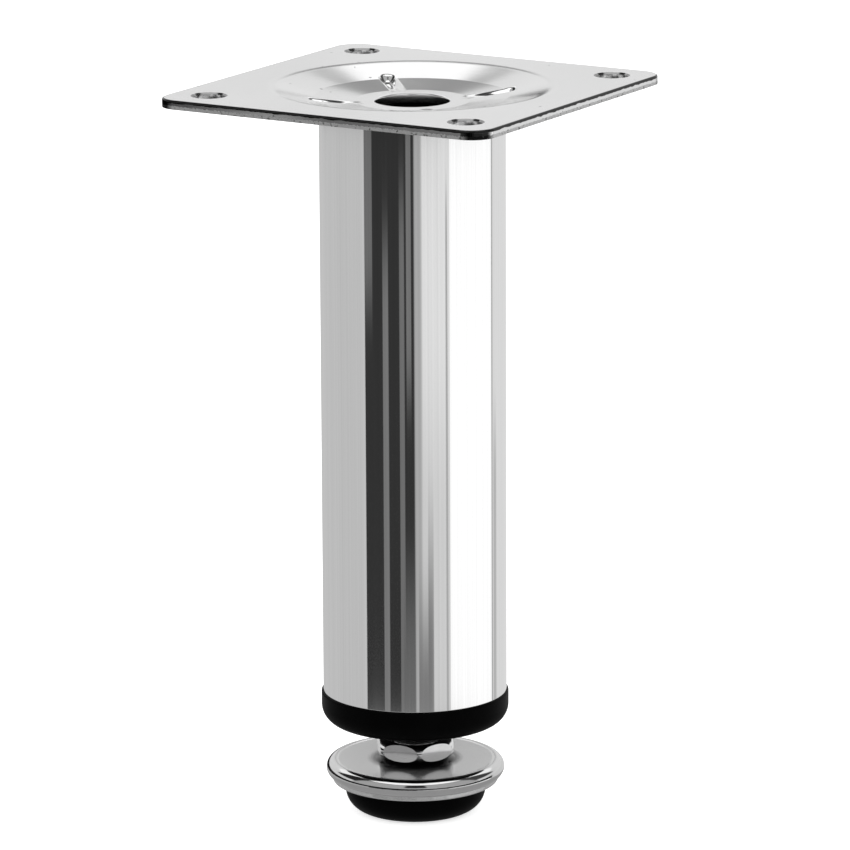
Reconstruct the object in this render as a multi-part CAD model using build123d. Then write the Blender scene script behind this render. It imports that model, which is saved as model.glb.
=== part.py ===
from build123d import *
import math
import os

# Adjustable furniture leg: a round steel tube under a square screw-on plate,
# with a threaded levelling foot below.
# Millimetres, +Z up. The origin is under the axis, on the surface that the foot stands on.

# Leg
leg_height = 100.0
tube_diameter = 30.0
tube_wall = 1.0

# Mounting plate, pressed from sheet
plate_side = 60.0
plate_thickness = 1.5
plate_corner_radius = 4.0
plate_edge_rounding = 0.35
screw_hole_spacing = 47.0
screw_hole_diameter = 5.3
screw_hole_chamfer = 0.3
centre_hole_diameter = 12.0
centre_hole_rounding = 0.3

# Round dish pressed into the plate, and the four weld beads across its step
dish_depth = 2.4
dish_lip_beyond_step = 7.0
dish_lip_rounding = 8.0
dish_sheet_margin = 2.0
dish_step_beyond_tube = 0.6
dish_step_depth = 1.6
dish_step_rounding = 3.0
dish_floor_radius = 9.2
dish_floor_rounding = 3.0
bead_count = 4
bead_first_angle = 45.0
bead_width = 2.0
bead_sink = 0.1
bead_inner_radius = 9.4
bead_past_tube = 2.2
bead_wall = 1.1
bead_end_rounding = 0.3

# Black end plug
plug_lip_height = 5.4
plug_lip_overhang = 0.3
plug_lip_edge_rounding = 3.0
plug_lip_top_rounding = 0.3
plug_skirt_length = 12.0
plug_skirt_wall = 1.5
plug_skirt_clearance = 0.35
plug_skirt_lead_in = 0.8
plug_fit_clearance = 0.05
crush_rib_count = 8
crush_rib_width = 1.2
crush_rib_stop = 1.5
plug_floor = 3.4
plug_boss_wall = 1.6
plug_nut_cover = 1.5
plug_web_count = 6
plug_web_thickness = 1.2
plug_web_drop = 1.0
plug_bore_clearance = 0.35
plug_bore_chamfer = 0.5

# Captive nut, moulded into the plug
nut_across_flats = 13.0
nut_height = 6.5
nut_chamfer_angle = 30.0
nut_chamfer_inset = 0.3

# Adjusting screw
thread_diameter = 8.0
thread_clearance = 0.05
screw_length = 30.0
screw_end_chamfer = 0.9
screw_root_rounding = 0.3
collar_across_flats = 12.0
collar_diameter = 13.5
collar_side_radius = 1.7
collar_turn = 6.0
spigot_diameter = 6.0
rivet_head_diameter = 9.2
rivet_head_height = 1.2
rivet_head_rounding = 0.4

# Pressed foot disc with a hollow rolled rim
disc_sheet = 1.0
disc_diameter = 29.2
rim_radius = 1.45
rim_level_below_hub = 1.85
hub_beyond_collar = 0.85
hub_rounding = 3.0
crease_inset = 2.0
crease_rounding = 0.25
disc_lip_drop = 0.7
disc_lip_beyond_rim_centre = 0.4
disc_lip_edge_rounding = 0.2
spigot_clearance = 0.05

# Black glide pad held in the disc
pad_height = 5.05
pad_edge_rounding = 3.7
pad_fit_clearance = 0.05
pad_snap_ring_height = 0.7
pad_snap_ring_reach = 0.4
pad_recess_clearance = 0.4

# The height that the foot is screwed to, between the collar and the plug
foot_gap = 2.55

# Radii that follow from the sizes above
tube_radius = tube_diameter / 2
tube_inner_radius = tube_radius - tube_wall
plug_lip_radius = tube_radius + plug_lip_overhang
thread_radius = thread_diameter / 2 - thread_clearance
plug_bore_radius = thread_diameter / 2 + plug_bore_clearance
boss_radius = nut_across_flats / math.sqrt(3) + plug_boss_wall
dish_step_radius = tube_radius + dish_step_beyond_tube
dish_lip_radius = dish_step_radius + dish_lip_beyond_step
dished_radius = plate_side / 2 - dish_sheet_margin
hub_radius = collar_diameter / 2 + hub_beyond_collar
disc_radius = disc_diameter / 2
rim_centre_radius = disc_radius - rim_radius
rim_hollow_radius = rim_radius - disc_sheet
crease_radius = disc_radius - crease_inset
disc_lip_radius = rim_centre_radius + disc_lip_beyond_rim_centre
disc_hem = 2 * disc_sheet
disc_cavity_radius = disc_lip_radius - disc_hem
pad_radius = disc_cavity_radius - pad_fit_clearance
collar_height = 2 * collar_side_radius

# Levels that follow from the sizes above, from the ground up
disc_bottom = pad_height
rim_level = disc_bottom + disc_lip_drop + rim_radius
hub_level = rim_level + rim_level_below_hub
crease_level = rim_level + math.sqrt(
    rim_radius**2 - (rim_centre_radius - crease_radius) ** 2
)
disc_cavity_top = hub_level - disc_sheet
pad_top = crease_level - disc_sheet
rim_hollow_bottom = rim_level - rim_hollow_radius
collar_top = hub_level + collar_height
screw_top = collar_top + screw_length
plug_bottom = collar_top + foot_gap
plug_floor_top = plug_bottom + plug_floor
nut_top = plug_floor_top + nut_height
boss_top = nut_top + plug_nut_cover
tube_bottom = plug_bottom + plug_lip_height
skirt_top = tube_bottom + plug_skirt_length
plate_top = tube_bottom + leg_height
plate_underside = plate_top - plate_thickness
dish_underside = plate_top - dish_depth - plate_thickness
bead_floor = plate_top - dish_depth - bead_sink
tube_top = dish_underside


def turned(outline):
    """A solid of revolution about Z, from a closed wire drawn in the XZ plane."""
    return revolve(make_face(outline), Axis.Z)


def spun(shape, count, first_angle=0.0):
    """Copies of a shape, evenly turned about Z."""
    return [Rot(0, 0, first_angle + i * 360 / count) * shape for i in range(count)]


def round_edge(solid, radius, level):
    """The round edge of a turned solid that lies nearest a given radius and level."""
    rounds = solid.edges().filter_by(GeomType.CIRCLE)
    return rounds.sort_by(
        lambda e: abs(e.radius - radius) + abs(e.center().Z - level)
    )[0]


def hexagon(across_flats, height):
    """An upright hexagonal prism with corners on X, its base at zero."""
    return extrude(RegularPolygon(across_flats / 2, 6, major_radius=False), height)


# Mounting plate


def dish_line(level):
    """The dish's section from the centre hole out to the flat plate, with rounded bends."""
    corners = [
        (centre_hole_diameter / 2, 0, level - dish_depth),
        (dish_floor_radius, 0, level - dish_depth),
        (dish_step_radius, 0, level - dish_step_depth),
        (dish_lip_radius, 0, level),
        (dished_radius, 0, level),
    ]
    roundings = [dish_floor_rounding, dish_step_rounding, dish_lip_rounding]
    return FilletPolyline(*corners, radius=roundings)


def dished_disc():
    """The pressed round of sheet in the middle of the plate."""
    top = dish_line(plate_top)
    bottom = dish_line(plate_underside)
    inner_edge = Line(top @ 0, bottom @ 0)
    outer_edge = Line(top @ 1, bottom @ 1)
    return turned([top, inner_edge, bottom, outer_edge])


def flat_border():
    """The square sheet around the dish, with rounded corners and a softened upper edge."""
    outline = RectangleRounded(plate_side, plate_side, plate_corner_radius)
    sheet = Pos(0, 0, plate_underside) * extrude(outline, plate_thickness)
    upper_edges = sheet.faces().sort_by(Axis.Z)[-1].edges()
    sheet = fillet(upper_edges, plate_edge_rounding)
    opening = extrude(Circle(dished_radius), plate_thickness)
    return sheet - Pos(0, 0, plate_underside) * opening


def bead(width, floor, inner, outer, top):
    """A radial pad with round ends along X, from its floor up to a given level."""
    length = outer - inner + width
    slot = SlotOverall(length, width)
    solid = Pos((inner + outer) / 2, 0, floor) * extrude(slot, top - floor)
    lower_edges = solid.faces().sort_by(Axis.Z)[0].edges()
    return fillet(lower_edges, bead_end_rounding)


def screw_hole():
    """A through hole with a chamfered mouth, on the axis."""
    radius = screw_hole_diameter / 2
    hole = Pos(0, 0, plate_underside) * extrude(Circle(radius), plate_thickness)
    mouth = Cone(
        radius,
        radius + screw_hole_chamfer,
        screw_hole_chamfer,
        align=(Align.CENTER, Align.CENTER, Align.MAX),
    )
    return hole + Pos(0, 0, plate_top) * mouth


def mounting_plate():
    """The pressed plate: border, dish, weld beads, screw holes and centre hole."""
    plate = flat_border() + dished_disc()
    outer = tube_radius + bead_past_tube
    boss = bead(
        bead_width + 2 * bead_wall,
        dish_underside,
        bead_inner_radius,
        outer,
        plate_underside - bead_sink,
    )
    groove = bead(bead_width, bead_floor, bead_inner_radius, outer, plate_top)
    upper_line = dish_line(plate_top)
    over_dish = turned(
        [
            upper_line,
            Polyline(
                upper_line @ 1,
                (dished_radius, 0, plate_top + dish_depth),
                (centre_hole_diameter / 2, 0, plate_top + dish_depth),
                upper_line @ 0,
            ),
        ]
    )
    for copy in spun(boss, bead_count, bead_first_angle):
        plate = plate + (copy - over_dish)
    for copy in spun(groove, bead_count, bead_first_angle):
        plate = plate - copy
    for place in GridLocations(screw_hole_spacing, screw_hole_spacing, 2, 2):
        plate = plate - place * screw_hole()
    hole_edge = round_edge(plate, centre_hole_diameter / 2, plate_top - dish_depth)
    return fillet(hole_edge, centre_hole_rounding)


# Tube


def leg_tube():
    """The round tube, from the plug's lip up to the plate's weld beads."""
    ring = Circle(tube_radius) - Circle(tube_inner_radius)
    return Pos(0, 0, tube_bottom) * extrude(ring, tube_top - tube_bottom)


# End plug and nut


def plug_shell():
    """The plug's lip, floor and skirt, turned as one cup that opens upwards."""
    skirt_radius = tube_inner_radius - plug_skirt_clearance
    skirt_inner_radius = skirt_radius - plug_skirt_wall
    corners = [
        (plug_bore_radius, 0, plug_bottom),
        (plug_lip_radius, 0, plug_bottom),
        (plug_lip_radius, 0, tube_bottom),
        (skirt_radius, 0, tube_bottom),
        (skirt_radius, 0, skirt_top - plug_skirt_lead_in),
        (skirt_radius - plug_skirt_lead_in / 2, 0, skirt_top),
        (skirt_inner_radius, 0, skirt_top),
        (skirt_inner_radius, 0, plug_floor_top),
        (plug_bore_radius, 0, plug_floor_top),
    ]
    cup = turned(Polyline(*corners, close=True))
    lower_edge = round_edge(cup, plug_lip_radius, plug_bottom)
    cup = fillet(lower_edge, plug_lip_edge_rounding)
    upper_edge = round_edge(cup, plug_lip_radius, tube_bottom)
    return fillet(upper_edge, plug_lip_top_rounding)


def crush_ribs():
    """Small upright ribs on the skirt that centre the plug in the tube."""
    reach = tube_inner_radius - plug_fit_clearance
    root = tube_inner_radius - plug_skirt_clearance - plug_skirt_wall / 2
    height = plug_skirt_length - plug_skirt_lead_in - crush_rib_stop
    rib = Pos((root + reach) / 2, 0, tube_bottom + height / 2) * Box(
        reach - root, crush_rib_width, height
    )
    return spun(rib, crush_rib_count)


def plug_boss():
    """The round boss about the nut."""
    return Pos(0, 0, plug_floor_top) * extrude(
        Circle(boss_radius), boss_top - plug_floor_top
    )


def plug_webs():
    """Radial webs that carry the boss from the skirt."""
    start = boss_radius - plug_boss_wall / 2
    end = tube_inner_radius - plug_skirt_clearance - plug_skirt_wall / 2
    height = boss_top - plug_web_drop - plug_floor_top
    web = Pos((start + end) / 2, 0, plug_floor_top + height / 2) * Box(
        end - start, plug_web_thickness, height
    )
    return spun(web, plug_web_count, 180 / plug_web_count)


def end_plug():
    """The moulded plug with the nut's pocket and the screw's bore."""
    plug = plug_shell() + plug_boss()
    for rib in crush_ribs():
        plug = plug + rib
    for web in plug_webs():
        plug = plug + web
    bore = Pos(0, 0, plug_bottom) * extrude(
        Circle(plug_bore_radius), boss_top - plug_bottom
    )
    mouth = Cone(
        plug_bore_radius + plug_bore_chamfer,
        plug_bore_radius,
        plug_bore_chamfer,
        align=(Align.CENTER, Align.CENTER, Align.MIN),
    )
    return plug - nut_blank() - bore - Pos(0, 0, plug_bottom) * mouth


def nut_blank():
    """The nut's outside: a hexagon with both ends chamfered by a cone."""
    corner = nut_across_flats / math.sqrt(3)
    face_radius = nut_across_flats / 2 - nut_chamfer_inset
    drop = (corner - face_radius) * math.tan(math.radians(nut_chamfer_angle))
    envelope = turned(
        Polyline(
            (0, 0, plug_floor_top),
            (face_radius, 0, plug_floor_top),
            (corner, 0, plug_floor_top + drop),
            (corner, 0, nut_top - drop),
            (face_radius, 0, nut_top),
            (0, 0, nut_top),
            close=True,
        )
    )
    prism = Pos(0, 0, plug_floor_top) * hexagon(nut_across_flats, nut_height)
    return prism & envelope


def captive_nut():
    """The steel nut, its thread left as a plain bore."""
    bore = Pos(0, 0, plug_floor_top) * extrude(Circle(thread_diameter / 2), nut_height)
    return nut_blank() - bore


# Adjusting screw


def screw_collar():
    """The spanner collar: a barrel with round sides, cut by six flats."""
    side_centre = collar_diameter / 2 - collar_side_radius
    bottom_left = (0, 0, hub_level)
    bottom = (side_centre, 0, hub_level)
    bulge = (collar_diameter / 2, 0, hub_level + collar_side_radius)
    top = (side_centre, 0, collar_top)
    top_left = (0, 0, collar_top)
    barrel = turned(
        [
            Line(bottom_left, bottom),
            ThreePointArc(bottom, bulge, top),
            Line(top, top_left),
            Line(top_left, bottom_left),
        ]
    )
    prism = Pos(0, 0, hub_level) * hexagon(collar_across_flats, collar_height)
    return barrel & (Rot(0, 0, collar_turn) * prism)


def screw_shank():
    """The stud above the collar, its thread left plain, with a chamfered end."""
    stud = Pos(0, 0, collar_top) * extrude(Circle(thread_radius), screw_length)
    return chamfer(stud.faces().sort_by(Axis.Z)[-1].edges(), screw_end_chamfer)


def screw_tail():
    """The spigot through the disc and the head riveted under it."""
    spigot = Pos(0, 0, disc_cavity_top) * extrude(
        Circle(spigot_diameter / 2), hub_level - disc_cavity_top
    )
    head = Pos(0, 0, disc_cavity_top - rivet_head_height) * extrude(
        Circle(rivet_head_diameter / 2), rivet_head_height
    )
    head = fillet(head.faces().sort_by(Axis.Z)[0].edges(), rivet_head_rounding)
    return spigot + head


def adjuster_screw():
    """Stud, collar, spigot and rivet head in one piece."""
    screw = screw_collar() + screw_shank() + screw_tail()
    root_edge = round_edge(screw, thread_radius, collar_top)
    return fillet(root_edge, screw_root_rounding)


# Foot disc and pad


def disc_outside():
    """The disc's outer form: hub, gentle slope, crease, rolled rim and lip."""
    bore = spigot_diameter / 2 + spigot_clearance
    crease = (crease_radius, 0, crease_level)
    rim_side = (disc_radius, 0, rim_level)
    lip_root_drop = math.sqrt(rim_radius**2 - disc_lip_beyond_rim_centre**2)
    lip_root = (disc_lip_radius, 0, rim_level - lip_root_drop)
    upper = FilletPolyline(
        (bore, 0, hub_level),
        (hub_radius, 0, hub_level),
        crease,
        radius=hub_rounding,
    )
    rim = ThreePointArc(crease, rim_side, lip_root)
    lower = Polyline(
        lip_root,
        (disc_lip_radius, 0, disc_bottom),
        (bore, 0, disc_bottom),
        (bore, 0, hub_level),
    )
    disc = turned([upper, rim, lower])
    crease_edge = round_edge(disc, crease_radius, crease_level)
    return fillet(crease_edge, crease_rounding)


def disc_cavity():
    """The space under the disc, up to its sloped sheet and out over the hem into the rim."""
    outline = Polyline(
        (0, 0, disc_bottom),
        (disc_cavity_radius, 0, disc_bottom),
        (disc_cavity_radius, 0, rim_hollow_bottom),
        (rim_centre_radius, 0, rim_hollow_bottom),
        (rim_centre_radius, 0, pad_top),
        (crease_radius, 0, pad_top),
        (hub_radius, 0, disc_cavity_top),
        (0, 0, disc_cavity_top),
        close=True,
    )
    return turned(outline)


def foot_disc():
    """The pressed disc: its outside, hollowed under the hub and into the rim."""
    hollow = Pos(0, 0, rim_level) * Torus(rim_centre_radius, rim_hollow_radius)
    disc = disc_outside() - disc_cavity() - hollow
    lip_edge = round_edge(disc, disc_lip_radius, disc_bottom)
    return fillet(lip_edge, disc_lip_edge_rounding)


def foot_pad():
    """The glide pad, with its snap ring and the recess for the rivet head."""
    pad = extrude(Circle(pad_radius), pad_top)
    pad = fillet(round_edge(pad, pad_radius, 0), pad_edge_rounding)
    ring_bottom = rim_hollow_bottom + pad_fit_clearance
    ring = turned(
        Polyline(
            (pad_radius - pad_snap_ring_reach, 0, ring_bottom),
            (pad_radius + pad_snap_ring_reach, 0, ring_bottom),
            (pad_radius - pad_snap_ring_reach, 0, ring_bottom + pad_snap_ring_height),
            close=True,
        )
    )
    recess_radius = rivet_head_diameter / 2 + pad_recess_clearance
    recess_bottom = disc_cavity_top - rivet_head_height - pad_recess_clearance
    recess = Pos(0, 0, recess_bottom) * extrude(
        Circle(recess_radius), pad_top - recess_bottom
    )
    return pad + ring - recess


pieces = {
    "mounting_plate": mounting_plate(),
    "leg_tube": leg_tube(),
    "end_plug": end_plug(),
    "captive_nut": captive_nut(),
    "adjuster_screw": adjuster_screw(),
    "foot_disc": foot_disc(),
    "foot_pad": foot_pad(),
}

os.makedirs("parts", exist_ok=True)
for name, solid in pieces.items():
    export_step(solid, f"parts/{name}.step")
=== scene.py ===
"""Looks of an adjustable furniture leg: a chromed tube under a square pressed plate, with a
black end plug and a screwed levelling foot. Lengths are in metres, in the part's own frame."""

import math

import bmesh
import bpy
import numpy as np
from bpy.props import FloatProperty, FloatVectorProperty, IntProperty, PointerProperty
from bpy.types import Operator, Panel, PropertyGroup
from mathutils import Matrix, Vector


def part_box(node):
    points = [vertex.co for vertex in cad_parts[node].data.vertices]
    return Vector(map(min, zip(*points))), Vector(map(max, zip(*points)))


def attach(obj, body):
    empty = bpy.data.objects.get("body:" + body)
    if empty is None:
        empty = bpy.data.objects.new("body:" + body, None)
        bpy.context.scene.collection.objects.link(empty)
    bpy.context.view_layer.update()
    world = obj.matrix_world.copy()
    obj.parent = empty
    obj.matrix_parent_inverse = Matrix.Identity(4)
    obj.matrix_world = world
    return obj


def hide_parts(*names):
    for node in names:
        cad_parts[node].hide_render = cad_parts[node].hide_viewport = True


bl_info = {
    "name": "Adjustable furniture leg",
    "version": (1, 0, 0),
    "blender": (4, 5, 0),
    "location": "3D View > Sidebar > Furniture leg",
    "description": "Builds the surfaces, finishes and studio of a chromed furniture leg",
    "category": "Object",
}

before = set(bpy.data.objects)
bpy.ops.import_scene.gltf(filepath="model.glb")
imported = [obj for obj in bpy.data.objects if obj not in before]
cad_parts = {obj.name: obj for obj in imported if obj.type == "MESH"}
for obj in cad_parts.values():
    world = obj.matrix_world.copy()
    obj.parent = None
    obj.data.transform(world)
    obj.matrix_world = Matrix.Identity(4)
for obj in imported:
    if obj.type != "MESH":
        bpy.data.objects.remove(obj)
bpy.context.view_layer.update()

MM = 0.001
FULL_TURN = 2 * math.pi
MERGE_DISTANCE = 0.0004 * MM
SHARP_EDGE = math.radians(32)
HOLD = 0.03 * MM
BEND_STEPS = 7
TURN_STEPS = 256
PLASTIC_STEPS = 192

PLATE_LOW, PLATE_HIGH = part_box("mounting_plate")
TUBE_LOW, TUBE_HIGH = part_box("leg_tube")
PLUG_LOW, PLUG_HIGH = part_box("end_plug")
NUT_LOW, NUT_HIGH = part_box("captive_nut")
SCREW_LOW, SCREW_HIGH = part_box("adjuster_screw")
DISC_LOW, DISC_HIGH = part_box("foot_disc")
PAD_LOW, PAD_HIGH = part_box("foot_pad")


def length(name, description, default):
    """A property that holds one length in metres."""
    return FloatProperty(
        name=name, description=description, default=default, min=0.0,
        subtype="DISTANCE", unit="LENGTH", precision=5,
    )


def share(name, description, default):
    """A property that holds a share from 0 to 1."""
    return FloatProperty(
        name=name, description=description, default=default, min=0.0, max=1.0,
        subtype="FACTOR",
    )


def turn(name, description, default):
    """A property that holds an angle, given here in degrees."""
    return FloatProperty(
        name=name, description=description, default=math.radians(default),
        subtype="ANGLE", unit="ROTATION",
    )


def tint(name, description, default):
    """A property that holds a colour in linear light."""
    return FloatVectorProperty(
        name=name, description=description, default=default, size=3, min=0.0, max=1.0,
        subtype="COLOR",
    )


class PlateSizes(PropertyGroup):
    """Sizes of the pressed mounting plate."""

    side: length("Side", "Length of one side", PLATE_HIGH.x - PLATE_LOW.x)
    sheet: length("Sheet", "Thickness of the sheet", 1.5 * MM)
    corner: length("Corner radius", "Radius of the four corners in plan", 4.0 * MM)
    edge: length("Edge rounding", "Rounding of the upper edge", 0.35 * MM)
    hole_spacing: length("Hole spacing", "Side of the square of screw holes", 47.0 * MM)
    hole_radius: length("Hole radius", "Radius of a screw hole", 2.65 * MM)
    hole_chamfer: length("Hole chamfer", "Chamfer at a screw hole's mouth", 0.3 * MM)
    centre_radius: length("Centre hole radius", "Radius of the middle hole", 6.0 * MM)
    centre_rounding: length("Centre hole rounding", "Rounding of its upper edge", 0.3 * MM)
    dish_depth: length("Dish depth", "Depth of the pressed dish", 2.4 * MM)
    dish_floor: length("Dish floor radius", "Radius of the flat ring in the dish", 9.2 * MM)
    dish_step: length("Dish step radius", "Radius where the dish gets steeper", 15.6 * MM)
    dish_step_depth: length("Dish step depth", "Depth of that step", 1.6 * MM)
    dish_lip: length("Dish lip radius", "Radius where the dish meets the flat", 22.6 * MM)
    dished: length("Dished radius", "Radius of the round part of the sheet", 28.0 * MM)
    bead_inner: length("Bead start", "Radius of a bead's inner end", 9.4 * MM)
    bead_outer: length("Bead end", "Radius of a bead's outer end", 16.0 * MM)
    bead_width: length("Bead width", "Width of a bead's groove", 2.0 * MM)
    bead_wall: length("Bead wall", "Sheet left beside the groove", 1.1 * MM)
    bead_sink: length("Bead sink", "Depth of the groove under the dish floor", 0.1 * MM)
    bead_slope: length("Bead slope", "Width of the groove's rounded wall", 1.1 * MM)


class TubeSizes(PropertyGroup):
    """Sizes of the round tube."""

    radius: length("Radius", "Outer radius", TUBE_HIGH.x)
    wall: length("Wall", "Wall thickness", 1.0 * MM)
    end_rounding: length("End rounding", "Rounding of the cut ends", 0.12 * MM)


class PlugSizes(PropertyGroup):
    """Sizes of the moulded end plug."""

    lip_rounding: length("Lip rounding", "Rounding of the lip's lower edge", 3.0 * MM)
    top_rounding: length("Top rounding", "Rounding of the lip's upper edge", 0.3 * MM)
    skirt_gap: length("Skirt gap", "Gap from the skirt to the tube", 0.35 * MM)
    skirt_wall: length("Skirt wall", "Wall of the skirt", 1.5 * MM)
    lead_in: length("Lead-in", "Height of the skirt's lead-in", 0.8 * MM)
    floor: length("Floor", "Thickness of the floor", 3.4 * MM)
    boss_wall: length("Boss wall", "Wall about the nut", 1.6 * MM)
    nut_cover: length("Nut cover", "Thickness above the nut", 1.5 * MM)
    bore_radius: length("Bore radius", "Radius of the screw's bore", 4.35 * MM)
    bore_chamfer: length("Bore chamfer", "Chamfer at the bore's mouth", 0.5 * MM)
    rib_count: IntProperty(name="Crush ribs", description="Ribs on the skirt", default=8, min=0)
    rib_width: length("Rib width", "Width of a crush rib", 1.2 * MM)
    web_count: IntProperty(name="Webs", description="Webs about the boss", default=6, min=0)
    web_width: length("Web width", "Thickness of a web", 1.2 * MM)


class ScrewSizes(PropertyGroup):
    """Sizes of the adjusting screw."""

    pitch: length("Pitch", "Pitch of the thread", 1.25 * MM)
    thread_radius: length("Thread radius", "Radius of the thread's crests", 3.95 * MM)
    thread_depth: length("Thread depth", "Height of the thread", 0.74 * MM)
    end_chamfer: length("End chamfer", "Chamfer of the free end", 0.9 * MM)
    neck: length("Neck", "Plain length above the collar", 1.2 * MM)
    collar_height: length("Collar height", "Height of the spanner collar", 3.4 * MM)
    collar_radius: length("Collar radius", "Largest radius of the collar", 6.75 * MM)
    across_flats: length("Across flats", "Spanner size of the collar", 12.0 * MM)
    collar_turn: turn("Collar turn", "Angle of one corner from +X", 6.0)
    spigot_radius: length("Spigot radius", "Radius of the swivel spigot", 3.0 * MM)
    head_radius: length("Head radius", "Radius of the rivet head", 4.6 * MM)
    head_height: length("Head height", "Height of the rivet head", 1.2 * MM)


class FootSizes(PropertyGroup):
    """Sizes of the pressed foot disc and its glide pad."""

    sheet: length("Sheet", "Thickness of the disc's sheet", 1.0 * MM)
    rim: length("Rim radius", "Radius of the rolled rim's section", 1.45 * MM)
    rim_drop: length("Rim drop", "Rim centre below the hub", 1.85 * MM)
    hub: length("Hub radius", "Radius of the cavity under the hub", 7.6 * MM)
    seat: length("Seat radius", "Radius of the raised seat under the collar", 5.3 * MM)
    seat_rounding: length("Seat rounding", "Bend at the seat's edge", 0.25 * MM)
    valley: length("Valley radius", "Radius where the top is lowest", 6.5 * MM)
    valley_depth: length("Valley depth", "Depth of that place below the seat", 0.58 * MM)
    valley_rounding: length("Valley rounding", "Bend at the lowest place", 0.6 * MM)
    crease: length("Crease inset", "Crease inside the disc's edge", 2.0 * MM)
    crease_rounding: length("Crease rounding", "Rounding of the crease", 0.25 * MM)
    lip_beyond: length("Lip beyond rim", "Lip outside the rim's centre", 0.4 * MM)
    lip_rounding: length("Lip rounding", "Rounding of the lip's edge", 0.2 * MM)
    bore: length("Bore radius", "Radius of the spigot's hole", 3.05 * MM)
    pad_rounding: length("Pad rounding", "Rounding of the pad's lower edge", 3.7 * MM)
    pad_fit: length("Pad fit", "Gap between pad and disc", 0.05 * MM)
    ring_height: length("Snap ring height", "Height of the pad's snap ring", 0.7 * MM)
    ring_reach: length("Snap ring reach", "Reach of the pad's snap ring", 0.4 * MM)
    recess: length("Recess gap", "Gap about the rivet head", 0.4 * MM)


class FinishColours(PropertyGroup):
    """Colours and gloss of the leg's finishes."""

    chrome: tint("Chrome", "Colour of the plated steel", (0.90, 0.90, 0.90))
    chrome_gloss: share("Chrome roughness", "Roughness of the plating", 0.035)
    plastic: tint("Plastic", "Colour of the black plastic", (0.0006, 0.0006, 0.0006))
    plastic_gloss: share("Plastic roughness", "Roughness of the plastic", 0.42)
    zinc: tint("Zinc", "Colour of the zinc plated nut", (0.50, 0.52, 0.54))
    zinc_gloss: share("Zinc roughness", "Roughness of the zinc", 0.38)


class StudioSettings(PropertyGroup):
    """The camera's place and the stage."""

    target: length("Aim height", "Height that the camera looks at", 64.58 * MM)
    distance: length("Distance", "Distance from the aim to the camera", 970.0 * MM)
    azimuth: turn("Azimuth", "Camera's direction from +X", -59.5)
    elevation: turn("Elevation", "Camera above the horizon", 13.45)
    roll: turn("Roll", "Camera's roll, clockwise", 0.26)
    sidestep: length("Sidestep", "Camera's shift to its right", 1.81 * MM)
    lens: FloatProperty(name="Lens", description="Focal length", default=253.7, unit="CAMERA")
    floor_radius: length("Floor radius", "Radius of the floor", 6.0)
    floor: tint("Floor", "Colour of the floor", (0.97, 0.97, 0.97))


# Sections and grids


def arc(centre, radius, start, end, count):
    """Points on a circle: the centre plus the radius times cosine and sine of even angles."""
    angles = np.radians(np.linspace(start, end, count))
    return np.array(centre) + radius * np.stack([np.cos(angles), np.sin(angles)], axis=1)


def rounded_line(corners, roundings, steps=BEND_STEPS):
    """An open line through (radius, height) corners, with an arc at each inner corner.
    An arc touches both runs at rounding / tan(half the inside angle) from the corner, and its
    centre lies at rounding / sin(half) along the bisector. A point at the hold distance
    before and after each arc keeps the shading of the straight runs flat."""
    corners = [np.array(corner, float) for corner in corners]
    points = [corners[0]]
    for before, corner, after, rounding in zip(corners, corners[1:], corners[2:], roundings):
        if rounding == 0:
            points.append(corner)
            continue
        run_back, run_ahead = np.linalg.norm(before - corner), np.linalg.norm(after - corner)
        back, ahead = (before - corner) / run_back, (after - corner) / run_ahead
        half = 0.5 * math.acos(float(np.clip(back @ ahead, -1.0, 1.0)))
        reach = rounding / math.tan(half)
        bisector = (back + ahead) / np.linalg.norm(back + ahead)
        centre = corner + bisector * (rounding / math.sin(half))
        start, end = corner + back * reach - centre, corner + ahead * reach - centre
        first = math.degrees(math.atan2(start[1], start[0]))
        cross = start[0] * end[1] - start[1] * end[0]
        swing = math.degrees(math.atan2(cross, float(start @ end)))
        if run_back - reach > 3 * HOLD:
            points.append(corner + back * (reach + HOLD))
        points.extend(arc(centre, rounding, first, first + swing, steps))
        if run_ahead - reach > 3 * HOLD:
            points.append(corner + ahead * (reach + HOLD))
    return np.array([*points, corners[-1]])


def even_turn(count):
    """Even angles of a whole turn."""
    return np.linspace(0, FULL_TURN, count, endpoint=False)


def polar(radius, angles, height):
    """Points at radius times cosine, radius times sine and height, spread to one shape."""
    axes = np.broadcast_arrays(radius * np.cos(angles), radius * np.sin(angles), height)
    return np.stack(axes, axis=-1)


def turned(section, angles):
    """A surface of revolution: every section point (radius, height) at each angle."""
    return polar(section[:, :1], angles, section[:, 1:])


def cell_corners(rows, columns, wrap_rows, wrap_columns):
    """The four point numbers of every cell of a grid whose points are numbered row by row."""
    row = np.arange(rows if wrap_rows else rows - 1)
    column = np.arange(columns if wrap_columns else columns - 1)
    row, column = np.meshgrid(row, column, indexing="ij")
    next_row, next_column = (row + 1) % rows, (column + 1) % columns
    cells = [
        row * columns + column,
        row * columns + next_column,
        next_row * columns + next_column,
        next_row * columns + column,
    ]
    return np.stack(cells, axis=-1).reshape(-1, 4)


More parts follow.
